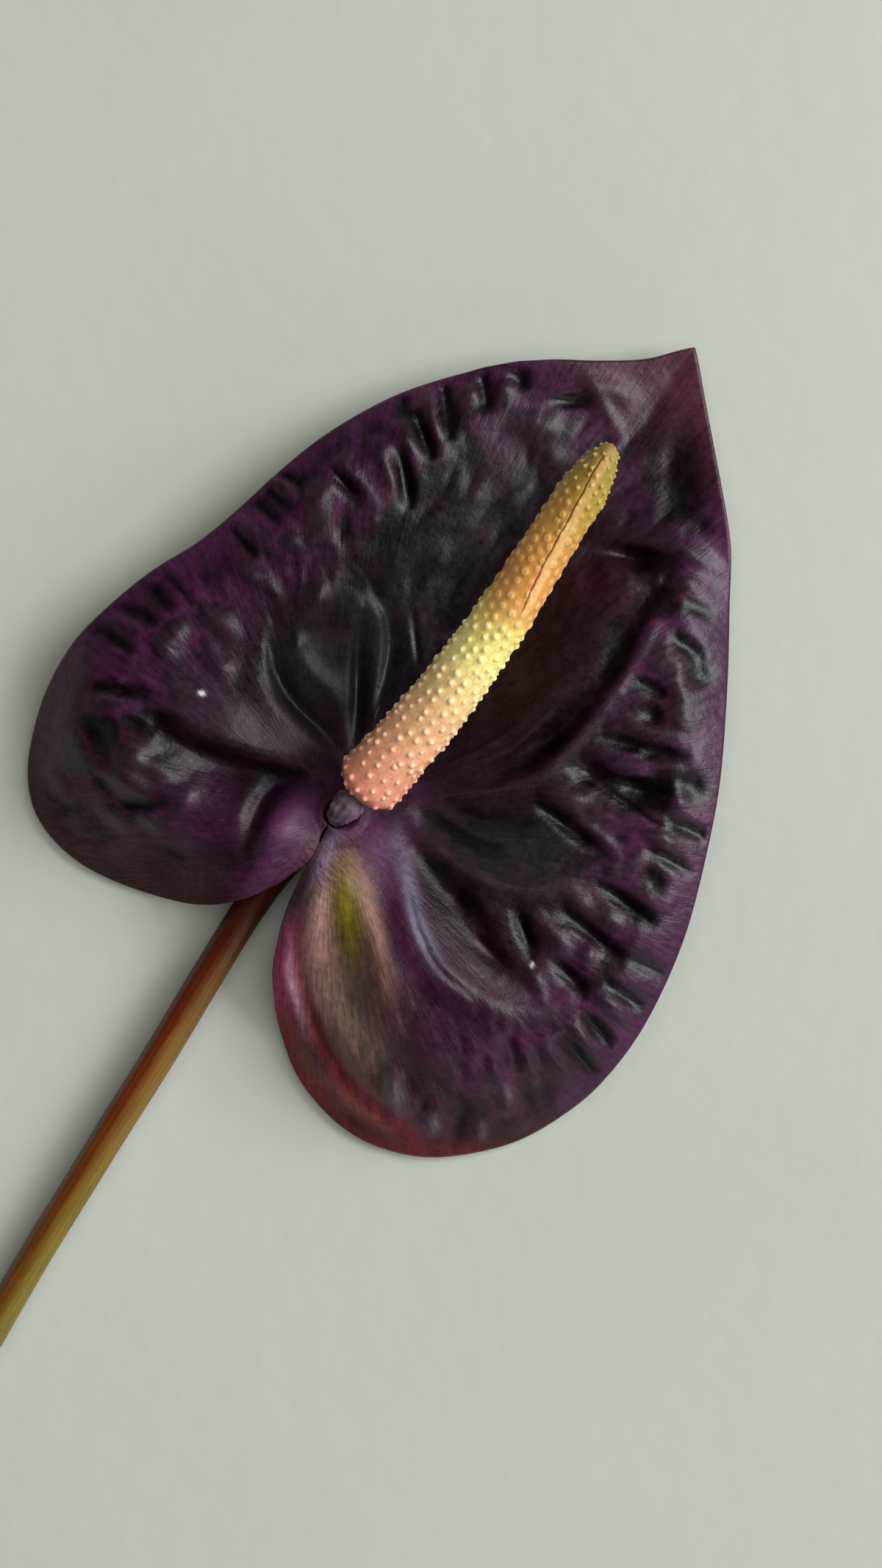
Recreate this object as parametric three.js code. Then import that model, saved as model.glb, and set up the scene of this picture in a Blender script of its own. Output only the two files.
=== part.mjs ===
// A cut anthurium flower: a heart-shaped spathe, a spadix on its short stipe, and the stem.
// It lies face up, as picked, on the spathe's two lobes and on the stem's cut end.
// Millimetres, +Z up, +Y from the stem towards the spathe's tip. Every piece is drawn about
// the node, the point where the stem ends and the spathe and the stipe begin. Last, the whole
// flower is moved so that the origin lies under the middle of its bounding box.
import * as THREE from "three";
import { mergeVertices } from "three/addons/utils/BufferGeometryUtils.js";

// ---------------------------------------------------------------- driving dimensions

const SPATHE_THICKNESS = 1.2;
const SPATHE_COLUMNS_LEFT = 34; // rays from the node to the left margin, up to the tip
const SPATHE_COLUMNS_RIGHT = 38;
const SPATHE_ROWS = 15; // steps along each ray
const SINUS_SHARE = 0.13; // share of each margin that faces the other lobe across the sinus
const SINUS_REACH = 0.16; // how far round the blade the sinus edges steer the rays
const SINUS_BLEND = 12; // how soon along the ray that begins: its full strength by 1/12
const NODE_RADIUS = 2.6; // the hole that the spathe leaves round the stipe
const NODE_HALF_GAP = THREE.MathUtils.degToRad(3); // half the hole's opening to the sinus

const SPADIX_BASE_RADIUS = 5.6;
const SPADIX_TIP_RADIUS = 3.3;
const SPADIX_BASE_ROUND = 3.4; // length of the blunt rounding at the base
const SPADIX_TIP_ROUND = 9; // and of the slender one at the tip
const SPADIX_SIDES = 20;
const SPADIX_RINGS = 18;

const STIPE_FOOT_RADIUS = 1.9;
const STIPE_NECK_RADIUS = 2.4;
const STIPE_SIDES = 16;
const STIPE_RINGS = 10;

const STEM_TOP_RADIUS = 2.9;
const STEM_CUT_RADIUS = 2.5;
const STEM_SWELL = 0.25; // extra radius just under the node
const STEM_DOME = 2.3; // height of the low dome that ends the stem under the spathe
const STEM_SIDES = 14;
const STEM_RINGS = 34;
const CUT_SLANT = 0.35; // how much the cut runs back along the stem, per millimetre across it

// The margin of each half, from the sinus at the node round the lobe to the tip.
const LEFT_MARGIN = [
  [0, -3], [0.6, -6], [0.95, -8.4], [0, -12], [-1, -15], [-4, -20], [-9.7, -25.5],
  [-18.5, -29.6], [-28.8, -31.8], [-38, -30.2], [-44.4, -24.6], [-48.6, -15], [-49.8, -5],
  [-48.6, 4], [-46.6, 12.5], [-43.6, 20.5], [-41.8, 28], [-40.4, 36], [-38.5, 44.5],
  [-35.5, 53], [-31.5, 61], [-25, 69.7], [-18, 76.4], [-10.7, 82.3], [-5.2, 87.2], [-1.9, 91.5], [-0.2, 93.6],
];
const RIGHT_MARGIN = [
  [0.15, -3], [0.8, -6], [1.2, -8.4], [1.6, -11], [2.3, -15], [4.1, -20.2], [8, -27.3],
  [14, -33.6], [21.2, -38], [30.4, -39.8], [38.5, -38.5], [46.7, -33.9], [54.7, -24.6],
  [58.5, -14.4], [59.3, -5], [58.2, 6], [55.2, 18], [50.2, 30], [44.5, 41.2], [36, 54.4],
  [29, 64.3], [24, 70.8], [16, 78.3], [9, 85], [2.9, 90.8], [-0.2, 93.6],
];

// The spadix's centre line, from its base by the stipe up to its tip.
const SPADIX_LINE = [
  [0.9, 4.6, 16.4], [2.2, 19.8, 22.2], [2.4, 29.3, 26], [2.2, 38.5, 29.7],
  [1.5, 47.6, 33.3], [0.8, 56.3, 36.8], [0, 67.8, 41.3],
];

// The stipe's centre line, from the node up to the spadix's base.
const STIPE_LINE = [[0.2, 0.1, 10], [0.3, 0.4, 13.3], [0.8, 4.2, 16.15]];

// The stem's centre line, from the cut end to the node.
const STEM_LINE = [
  [20, -176, 2.55], [14.2, -148, 2.7], [8.6, -116, 3], [4.6, -87, 3.4],
  [0.6, -47, 4], [-2.2, -21, 4.6], [-2, -8, 5.7], [-0.2, 0.4, 6.2],
];

// ---------------------------------------------------------------- the spathe's form

const smooth = THREE.MathUtils.smoothstep;
const bell = (d, width) => Math.exp(-((d / width) ** 2));

const BLADE_LEVEL = 8.4; // height of the midrib above the surface that the flower lies on
const CUP_RISE = 5; // how far the halves rise on each side of the midrib
const TIP_DROP = 3.8;
const TIP_KEEL = 0.17; // how steeply the tip's sides rise from its midrib
const SHOULDER_RISE = 2.6; // swelling on each side of the sinus, over the end of the stem
const SIDE_ROLL = { drop: 3.6, width: 8 }; // the margin's downward roll along the sides
const LOBE_ROLL = { drop: 12.3, width: 20 }; // and round the back of the lobes
const ROLL_CURVE = 1.5; // how much steeper the roll gets towards the margin
const LOBES = [
  { x: 24, y: -15, wide: 17, deep: 13, rise: 4.5 },
  { x: -27, y: -11, wide: 15, deep: 11, rise: 3 },
];

// The folds that are deep enough to matter for the form: ridges rise and valleys sink.
const FOLDS = [
  {
    name: "ridge above the left lobe",
    rise: 2.4,
    width: 4,
    path: [[-7, 5], [-14, 3.5], [-21, 1], [-28, -0.8], [-34, -1]],
  },
  {
    name: "deep fold of the left lobe",
    rise: -3.4,
    width: 3.4,
    path: [[-8, 1], [-14, -2.6], [-21, -6], [-29, -7.6]],
  },
  {
    name: "crease by the left shoulder",
    rise: -2,
    width: 2,
    path: [[-8.6, 1], [-9.4, -6], [-7.4, -13]],
  },
  {
    name: "ridge above the right lobe",
    rise: 1.8,
    width: 3.2,
    path: [[9, 3], [19, -4.5], [33, -8.6], [44, -5]],
  },
  {
    name: "valley above that ridge",
    rise: -2.2,
    width: 4,
    path: [[16, 2], [26, -1.4], [38, -1]],
  },
  {
    name: "valley right of the central panel",
    rise: -2,
    width: 3.2,
    path: [[15, 17], [20, 26], [20.5, 42], [17.5, 60]],
  },
  {
    name: "valley left of the central panel",
    rise: -1.6,
    width: 2.4,
    path: [[-5, 9], [-12, 9.6], [-20, 11], [-25, 15]],
  },
];

const margin = (points) =>
  new THREE.CatmullRomCurve3(points.map(([x, y]) => new THREE.Vector3(x, y, 0)), false, "catmullrom", 0.5);
const leftMargin = margin(LEFT_MARGIN);
const rightMargin = margin(RIGHT_MARGIN);
const EDGE_SAMPLES = 120;
const FOLD_SAMPLES = 12;
const EDGES = [leftMargin, rightMargin].map((curve) => curve.getSpacedPoints(EDGE_SAMPLES));
const FOLD_LINES = FOLDS.map((fold) => ({
  ...fold,
  points: margin(fold.path).getSpacedPoints(FOLD_SAMPLES),
}));

// Distance in plan from a point to a line of points, and how far along the line that is.
function distanceTo(points, x, y) {
  const here = new THREE.Vector3(x, y, 0);
  const segment = new THREE.Line3();
  const nearest = new THREE.Vector3();
  let best = { distance: Infinity, along: 0 };
  for (let i = 0; i + 1 < points.length; i++) {
    segment.set(points[i], points[i + 1]);
    const t = segment.closestPointToPointParameter(here, true);
    const distance = segment.at(t, nearest).distanceTo(here);
    if (distance < best.distance) best = { distance, along: (i + t) / (points.length - 1) };
  }
  return best;
}

// The downward roll of the margin at a point that lies `edge` millimetres inside it.
function marginRoll(x, y, edge) {
  const lobe = smooth(-y, -5, 24) * smooth(Math.abs(x), 3, 17);
  const drop = THREE.MathUtils.lerp(SIDE_ROLL.drop, LOBE_ROLL.drop, lobe);
  const width = THREE.MathUtils.lerp(SIDE_ROLL.width, LOBE_ROLL.width, lobe);
  const ease = THREE.MathUtils.lerp(0.3, 1, smooth(Math.hypot(x, y), 5, 16))
    * (1 - smooth(y, 60, 80)); // gentler by the node, and none at the tip
  return drop * ease * Math.max(0, 1 - edge / width) ** ROLL_CURVE;
}

// Height of the spathe's upper face.
function bladeHeight(x, y) {
  const side = Math.abs(x);
  const valley = smooth(side, 4, 26);
  const cup = CUP_RISE * THREE.MathUtils.lerp(1, valley, smooth(y, -8, 12));
  const tip = smooth(y, 36, 96);
  let z = BLADE_LEVEL + cup * (1 - 0.8 * tip) - TIP_DROP * tip ** 1.5;
  z += SHOULDER_RISE * bell(side - 6, 6) * bell(y + 9, 10);
  for (const lobe of LOBES) z += lobe.rise * bell(x - lobe.x, lobe.wide) * bell(y - lobe.y, lobe.deep);
  for (const fold of FOLD_LINES) {
    const { distance, along } = distanceTo(fold.points, x, y);
    z += fold.rise * bell(distance, fold.width) * Math.sin(Math.PI * (0.1 + 0.8 * along));
  }
  const edge = Math.min(...EDGES.map((points) => distanceTo(points, x, y).distance));
  const keel = TIP_KEEL * (Math.hypot(side, 3) - 3) * smooth(y, 66, 84);
  return z + keel - marginRoll(x, y, edge);
}

// Where ray `column` of the spathe is at `share` of its length, in plan. The rays run out
// from the hole round the stipe. The first and last follow the edges of the sinus.
function bladePlan(column, share) {
  const left = column <= SPATHE_COLUMNS_LEFT;
  const step = left
    ? column / SPATHE_COLUMNS_LEFT
    : (SPATHE_COLUMNS_LEFT + SPATHE_COLUMNS_RIGHT - column) / SPATHE_COLUMNS_RIGHT;
  const round = column / (SPATHE_COLUMNS_LEFT + SPATHE_COLUMNS_RIGHT);
  const angle = -Math.PI / 2 - NODE_HALF_GAP - round * (2 * Math.PI - 2 * NODE_HALF_GAP);
  const curve = left ? leftMargin : rightMargin;
  const start = new THREE.Vector3(Math.cos(angle), Math.sin(angle), 0).multiplyScalar(NODE_RADIUS);
  const end = curve.getPointAt(SINUS_SHARE + (1 - SINUS_SHARE) * step);
  const point = start.clone().lerp(end, share);

  const sinusAngle = -Math.PI / 2 + NODE_HALF_GAP * (left ? -1 : 1);
  const sinusStart = new THREE.Vector3(Math.cos(sinusAngle), Math.sin(sinusAngle), 0);
  sinusStart.multiplyScalar(NODE_RADIUS);
  const chord = sinusStart.lerp(curve.getPointAt(SINUS_SHARE), share);
  const hug = Math.max(0, 1 - step / (2 * SINUS_REACH)) ** 2;
  const sinusEdge = curve.getPointAt(SINUS_SHARE * share);
  return point.add(sinusEdge.sub(chord).multiplyScalar(hug * Math.min(1, share * SINUS_BLEND)));
}

// One closed solid: the upper face, the lower face a thickness behind it, and the rim.
function spatheGeometry() {
  const columns = SPATHE_COLUMNS_LEFT + SPATHE_COLUMNS_RIGHT;
  const rows = SPATHE_ROWS;
  const at = (i, j) => i * (rows + 1) + j;
  const upper = [];
  for (let i = 0; i <= columns; i++) {
    for (let j = 0; j <= rows; j++) {
      const p = bladePlan(i, j / rows);
      upper.push(p.x, p.y, bladeHeight(p.x, p.y));
    }
  }
  const faces = [];
  for (let i = 0; i < columns; i++) {
    for (let j = 0; j < rows; j++) {
      faces.push(at(i, j), at(i + 1, j + 1), at(i, j + 1));
      faces.push(at(i, j), at(i + 1, j), at(i + 1, j + 1));
    }
  }
  const face = new THREE.BufferGeometry();
  face.setAttribute("position", new THREE.Float32BufferAttribute(upper, 3));
  face.setIndex(faces);
  face.computeVertexNormals();

  const position = face.getAttribute("position");
  const normal = face.getAttribute("normal");
  const count = position.count;
  const vertices = [...position.array];
  const top = new THREE.Vector3();
  const out = new THREE.Vector3();
  for (let k = 0; k < count; k++) {
    top.fromBufferAttribute(position, k);
    out.fromBufferAttribute(normal, k);
    top.addScaledVector(out, -SPATHE_THICKNESS);
    vertices.push(top.x, top.y, top.z);
  }
  const index = [...face.index.array];
  for (let k = 0; k < face.index.count; k += 3) {
    const [a, b, c] = [0, 1, 2].map((n) => face.index.array[k + n] + count);
    index.push(a, c, b);
  }
  const rim = [];
  for (let j = 0; j < rows; j++) rim.push(at(0, j));
  for (let i = 0; i < columns; i++) rim.push(at(i, rows));
  for (let j = rows; j > 0; j--) rim.push(at(columns, j));
  for (let i = columns; i > 0; i--) rim.push(at(i, 0));
  rim.forEach((a, k) => {
    const b = rim[(k + 1) % rim.length];
    index.push(a, b, b + count, a, b + count, a + count);
  });
  const solid = new THREE.BufferGeometry();
  solid.setAttribute("position", new THREE.Float32BufferAttribute(vertices, 3));
  solid.setIndex(index);
  return solid;
}

// ---------------------------------------------------------------- round pieces

// Bends a turned shape, whose axis runs from y = 0 to y = length, along a curve in space.
function bendAlong(geometry, curve, length) {
  const position = geometry.getAttribute("position");
  const up = new THREE.Vector3(0, 0, 1);
  for (let k = 0; k < position.count; k++) {
    const y = position.getY(k);
    const share = THREE.MathUtils.clamp(y / length, 0, 1);
    const tangent = curve.getTangentAt(share);
    const side = new THREE.Vector3().crossVectors(tangent, up).normalize();
    const rise = new THREE.Vector3().crossVectors(side, tangent);
    const p = curve.getPointAt(share).addScaledVector(tangent, y - share * length);
    p.addScaledVector(side, position.getX(k)).addScaledVector(rise, position.getZ(k));
    position.setXYZ(k, p.x, p.y, p.z);
  }
  return geometry;
}

// LatheGeometry with its seam closed, ready to be bent: only positions, shared vertices.
function turned(profile, sides) {
  const geometry = new THREE.LatheGeometry(profile, sides);
  geometry.deleteAttribute("normal");
  geometry.deleteAttribute("uv");
  return mergeVertices(geometry, 1e-4);
}

const curveThrough = (points) =>
  new THREE.CatmullRomCurve3(points.map((p) => new THREE.Vector3(...p)), false, "catmullrom", 0.5);

function spadixGeometry() {
  const curve = curveThrough(SPADIX_LINE);
  const length = curve.getLength();
  const profile = [];
  for (let k = 0; k <= SPADIX_RINGS; k++) {
    const share = (1 - Math.cos((Math.PI * k) / SPADIX_RINGS)) / 2;
    const taper = THREE.MathUtils.lerp(SPADIX_BASE_RADIUS, SPADIX_TIP_RADIUS, share);
    const baseEnd = Math.min(1, (share * length) / SPADIX_BASE_ROUND);
    const tipEnd = Math.min(1, ((1 - share) * length) / SPADIX_TIP_ROUND);
    const ends = Math.sqrt(1 - (1 - baseEnd) ** 2) * Math.sqrt(1 - (1 - tipEnd) ** 2);
    profile.push(new THREE.Vector2(k % SPADIX_RINGS ? taper * ends : 0, share * length));
  }
  return bendAlong(turned(profile, SPADIX_SIDES), curve, length);
}

function stemGeometry() {
  const curve = curveThrough(STEM_LINE);
  const length = curve.getLength();
  const profile = [new THREE.Vector2(0, 0)];
  for (let k = 0; k <= STEM_RINGS; k++) {
    const share = k / STEM_RINGS;
    const radius = THREE.MathUtils.lerp(STEM_CUT_RADIUS, STEM_TOP_RADIUS - STEM_SWELL, share);
    profile.push(new THREE.Vector2(radius + STEM_SWELL * smooth(share, 0.85, 0.97), share * length));
  }
  profile.push(new THREE.Vector2(STEM_TOP_RADIUS * 0.7, length + STEM_DOME * 0.7));
  profile.push(new THREE.Vector2(0, length + STEM_DOME));
  const geometry = turned(profile, STEM_SIDES);
  const position = geometry.getAttribute("position");
  for (let k = 0; k < position.count; k++) {
    if (position.getY(k) < 1e-3) position.setY(k, CUT_SLANT * position.getX(k));
  }
  return bendAlong(geometry, curve, length);
}

function stipeGeometry() {
  const curve = curveThrough(STIPE_LINE);
  const length = curve.getLength();
  const profile = [new THREE.Vector2(0, 0)];
  for (let k = 0; k <= STIPE_RINGS; k++) {
    const share = k / STIPE_RINGS;
    const ends = Math.min(1, 0.86 + 6 * Math.min(share, 1 - share)); // the two rims are rounded
    const radius = THREE.MathUtils.lerp(STIPE_FOOT_RADIUS, STIPE_NECK_RADIUS, share) * ends;
    profile.push(new THREE.Vector2(radius, share * length));
  }
  profile.push(new THREE.Vector2(0, length));
  return bendAlong(turned(profile, STIPE_SIDES), curve, length);
}

// ---------------------------------------------------------------- assembly

function material(color, roughness) {
  return new THREE.MeshStandardMaterial({ color, roughness, metalness: 0 });
}

function piece(name, geometry, finish) {
  const mesh = new THREE.Mesh(geometry, finish);
  mesh.name = name;
  return mesh;
}

const flower = new THREE.Group();
const spathe = piece("spathe", spatheGeometry(), material(0x2a0f1f, 0.38));
const spadix = piece("spadix", spadixGeometry(), material(0xe0a070, 0.45));
const stipe = piece("stipe", stipeGeometry(), material(0x5d4a58, 0.6));
const stem = piece("peduncle", stemGeometry(), material(0x8a6a35, 0.5));

flower.add(spathe, spadix, stipe, stem);

const bounds = new THREE.Box3().setFromObject(flower);
flower.position.set(
  -(bounds.min.x + bounds.max.x) / 2,
  -(bounds.min.y + bounds.max.y) / 2,
  -bounds.min.z,
);

export default flower;
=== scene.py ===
"""Looks of a cut anthurium flower that lies face up on a pale floor.

Every shape is worked out in millimetres about the node, the point where the stem ends and the
spathe begins: +Y runs from the node to the spathe's tip, +Z up out of the spathe's face. The
frame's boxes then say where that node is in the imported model.
"""

import math

import bpy
import numpy as np
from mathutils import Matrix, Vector
from mathutils.kdtree import KDTree


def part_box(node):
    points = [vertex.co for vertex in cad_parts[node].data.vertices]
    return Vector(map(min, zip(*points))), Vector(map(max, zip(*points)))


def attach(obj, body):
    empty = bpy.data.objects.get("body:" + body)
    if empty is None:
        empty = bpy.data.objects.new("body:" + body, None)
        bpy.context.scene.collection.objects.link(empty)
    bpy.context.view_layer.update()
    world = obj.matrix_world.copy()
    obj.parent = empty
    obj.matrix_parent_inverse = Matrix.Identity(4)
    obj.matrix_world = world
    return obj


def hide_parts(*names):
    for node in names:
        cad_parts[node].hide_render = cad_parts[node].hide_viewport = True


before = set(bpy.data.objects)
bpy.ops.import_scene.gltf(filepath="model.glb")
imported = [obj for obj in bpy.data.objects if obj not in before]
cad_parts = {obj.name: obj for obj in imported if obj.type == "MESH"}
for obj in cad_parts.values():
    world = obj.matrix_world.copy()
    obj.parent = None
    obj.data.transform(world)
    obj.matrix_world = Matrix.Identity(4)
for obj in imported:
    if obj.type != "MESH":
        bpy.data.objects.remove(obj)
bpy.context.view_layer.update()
MM = 0.001

# ------------------------------------------------------------------ driving dimensions

SPATHE_COLUMNS = 540  # rays from the node round to the margin
SPATHE_ROWS = 136  # steps along a ray
CORNER_COLUMNS = 10  # rays next to the sinus that run nearly along the rim at their outer end
LEFT_SHARE = 34 / 72  # share of the rays that end on the left margin
SINUS_SHARE = 0.13  # share of each margin that faces the other lobe across the sinus
SINUS_REACH = 0.16  # how far round the blade the sinus edges steer the rays
SINUS_BLEND = 12  # how soon along the ray that begins: its full strength by 1/12
NODE_RADIUS = 2.1  # the hole that the blade leaves round the stipe
NODE_HALF_GAP = math.radians(2)  # half the hole's opening to the sinus
PUCKERS = 520
PLEAT_RUN = 2.5  # how far the pleats run on towards the margin
THICKNESS_CENTRE = 1.5
THICKNESS_MARGIN = 0.8
RIM_BULGE = 0.22  # how far the rim's middle stands out

SPADIX_BASE_RADIUS = 5.35
SPADIX_TIP_RADIUS = 3.15
SPADIX_BASE_ROUND = 3.4  # length of the blunt rounding at the base
SPADIX_TIP_ROUND = 9  # and of the slender one at the tip
SPADIX_RINGS = 330
SPADIX_SIDES = 250
BEAD_COLUMNS = 15
BEAD_PITCH = 2.05  # along a column
BEAD_RADIUS = 0.47
BEAD_HEIGHT = 0.4
BEAD_LEAD = 0.382  # how far each column runs ahead of the last, in pitches
DIMPLE_DEPTH = 0.16  # the pit on top of the upper beads
SPLIT_DEPTH = 0.22

STIPE_FOOT_RADIUS = 1.8
STIPE_NECK_RADIUS = 2.35
STIPE_RINGS = 60
STIPE_SIDES = 96

STEM_TOP_RADIUS = 2.9
STEM_CUT_RADIUS = 2.5
STEM_SWELL = 0.25
STEM_RINGS = 420
STEM_SIDES = 64
STEM_DOME = 2.3  # height of the low dome that ends the stem under the spathe
CUT_SLANT = 0.35  # how much the cut runs back along the stem, per millimetre across it
CUT_SINK = 0.18  # how far the cut face's middle is sunk

BLADE_LEVEL = 8.4  # height of the blade's midrib above the surface
CUP_RISE = 5  # how far the blade's sides rise above that
TIP_DROP = 3.8
TIP_KEEL = 0.17  # how steeply the tip's sides rise from its midrib
SHOULDER_RISE = 2.6  # of the two humps beside the sinus
SIDE_ROLL = (3.6, 8)  # drop and width of the margin's downward roll along the sides
LOBE_ROLL = (12.3, 20)  # and round the back of the lobes
ROLL_CURVE = 1.5  # how much the roll steepens towards the margin
LOBES = [(24, -15, 17, 13, 4.5), (-27, -11, 15, 11, 3)]  # x, y, width, depth, rise

# ------------------------------------------------------------------ outlines and lines

LEFT_MARGIN = [
    (0, -3), (0.6, -6), (0.95, -8.4), (0, -12), (-1, -15), (-4, -20), (-9.7, -25.5), (-18.5, -29.6),
    (-28.8, -31.8), (-38, -30.2), (-44.4, -24.6), (-48.6, -15), (-49.8, -5), (-48.6, 4),
    (-46.6, 12.5), (-43.6, 20.5), (-41.8, 28), (-40.4, 36), (-38.5, 44.5), (-35.5, 53),
    (-31.5, 61), (-25, 69.7), (-18, 76.4), (-10.7, 82.3), (-5.2, 87.2), (-1.9, 91.5), (-0.2, 93.6),
]
RIGHT_MARGIN = [
    (0.12, -3), (0.75, -6), (1.15, -8.4), (1.5, -11), (2.3, -15), (4.1, -20.2), (8, -27.3),
    (14, -33.6), (21.2, -38), (30.4, -39.8), (38.5, -38.5), (46.7, -33.9), (54.7, -24.6),
    (58.5, -14.4), (59.3, -5), (58.2, 6), (55.2, 18), (50.2, 30), (44.5, 41.2), (36, 54.4),
    (29, 64.3), (24, 70.8), (16, 78.3), (9, 85), (2.9, 90.8), (-0.2, 93.6),
]
SPADIX_LINE = [
    (0.9, 4.6, 16.4), (2.2, 19.8, 22.2), (2.4, 29.3, 26), (2.2, 38.5, 29.7),
    (1.5, 47.6, 33.3), (0.8, 56.3, 36.8), (0, 67.8, 41.3),
]
STIPE_LINE = [(0.3, 0.3, 10), (0.4, 0.7, 13.6), (0.8, 4.2, 16.15)]
STEM_LINE = [
    (20, -176, 2.55), (14.2, -148, 2.7), (8.6, -116, 3), (4.6, -87, 3.4),
    (0.6, -47, 4), (-2.2, -21, 4.6), (-2, -8, 5.7), (-0.2, 0.4, 6.2),
]

# Folds of the blade: rise, width on the left of the path, width on its right, and the path,
# which runs outwards from the node.
FOLDS = [
    # left half: the ridge over the lobe, the deep fold under it, the shoulder's crease
    (2.5, 2.0, 5.5, [(-6.5, 5), (-12, 3), (-18, 0.2), (-24, -1.4), (-32, -1.8)]),
    (-3.8, 4.2, 2.0, [(-8, 0.8), (-14, -2.4), (-21, -5.4), (-30, -6.6)]),
    (-2.6, 1.5, 1.7, [(-8.8, 1), (-10.2, -4), (-9.2, -9), (-6.4, -14.5)]),
    (1.2, 4.0, 3.6, [(-4, -1), (-4.6, -5), (-4.2, -9), (-3.6, -13)]),
    # left half: the grooves that part the panels beside the spadix
    (-1.9, 0.9, 1.9, [(-4.5, 7.6), (-10, 8.8), (-17, 10), (-22, 12.6), (-25.6, 16.4)]),
    (1.0, 2.2, 1.2, [(-6, 6.4), (-12, 6.8), (-19, 7.6), (-25, 10.4)]),
    (-1.9, 0.8, 1.5, [(-4.6, 10.2), (-8.4, 15.8), (-11, 19.4), (-14, 23.6), (-16, 27)]),
    (-1.1, 0.7, 1.6, [(-5.4, 17.5), (-9, 25), (-12.6, 29.3), (-17, 31.3)]),
    (0.7, 1.2, 1.2, [(-7, 11), (-12, 14.5), (-18, 16), (-23, 19)]),
    (-0.9, 2.2, 3.2, [(-20.6, 32), (-20, 42), (-19.6, 50), (-18.6, 58)]),
    # right half: the long ridge over the lobe, its crease, and the valleys above
    (2.0, 2.0, 2.8, [(7, 4.4), (14, -0.4), (20, -5.4), (27, -8.6), (35, -9.2), (42, -6.6), (46.5, -1.6)]),
    (-0.7, 0.5, 0.5, [(16, -2.4), (21, -6.2), (27, -9), (34, -9.4)]),
    (-2.3, 2.6, 2.4, [(12, 2.6), (19, 1.2), (27, -1.6), (36, -3.4)]),
    # right half: the drop-shaped panel's lower border and the creases inside it
    (1.3, 1.2, 1.4, [(8.5, 6.8), (13, 5.2), (20, 5.2), (26, 6.4), (31, 9.2), (35, 14), (37, 19)]),
    (-0.9, 1.5, 1.0, [(11, 8.4), (18, 8), (25, 9.2), (30, 12.4)]),
    (0.6, 0.7, 0.7, [(11, 10), (18, 10.6), (24, 12.6), (28, 17)]),
    (-1.1, 1.0, 1.2, [(13, 11.6), (19, 13.4), (24, 16.4)]),
    # right half: the collecting vein and the valley inside it
    (1.4, 1.1, 1.2,
     [(7.5, 9), (13, 14), (18, 19), (21.6, 25), (22.5, 33), (22.6, 42), (21.6, 50), (19.6, 59)]),
    (-2.0, 2.4, 1.6, [(15, 19), (19, 27), (20, 36), (20, 46), (17.6, 58)]),
    (0.5, 0.5, 0.5, [(8, 13), (12, 19), (15.5, 26), (16.6, 34)]),
    (0.4, 0.5, 0.5, [(8.6, 16), (12, 22.5), (14.4, 29)]),
    # right half: the cross ridge near the tip and its valley
    (1.2, 2.0, 1.2, [(5, 61), (12, 64), (18, 66.2), (24, 67)]),
    (-1.8, 1.0, 2.2, [(7, 58.4), (13, 61.4), (18.4, 64.4)]),
    (-1.2, 1.4, 1.4, [(17.4, 63.6), (19.4, 60), (19.6, 55)]),
    # right lobe: long soft pleats that fan out from the node
    (0.5, 1.6, 1.6, [(5, -5), (11, -9), (19, -13.4), (27, -17)]),
    (-0.6, 1.2, 1.4, [(5.4, -8), (11, -14.6), (19, -21), (28, -26)]),
    (0.5, 1.2, 1.4, [(5, -11), (10, -18.4), (18, -25), (28, -30)]),
    (-1.0, 1.2, 1.5, [(5.6, -17.6), (12, -24.4), (20, -29.4), (29, -32.2), (40, -32.6)]),
    (0.6, 1.3, 1.6, [(5, -20), (11, -27), (19, -32.4), (29, -35)]),
    (-0.7, 2.0, 2.0, [(34, -25), (39, -23.6), (46, -24)]),
    # the tip
    (-0.9, 2.2, 2.2, [(0.6, 73), (0.6, 82), (0, 91)]),
    (0.9, 1.0, 1.2, [(-11, 79), (-6, 77), (-1, 75)]),
    (0.6, 1.1, 1.1, [(-14.4, 72.4), (-12, 75.6), (-9.6, 78)]),
]

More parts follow.
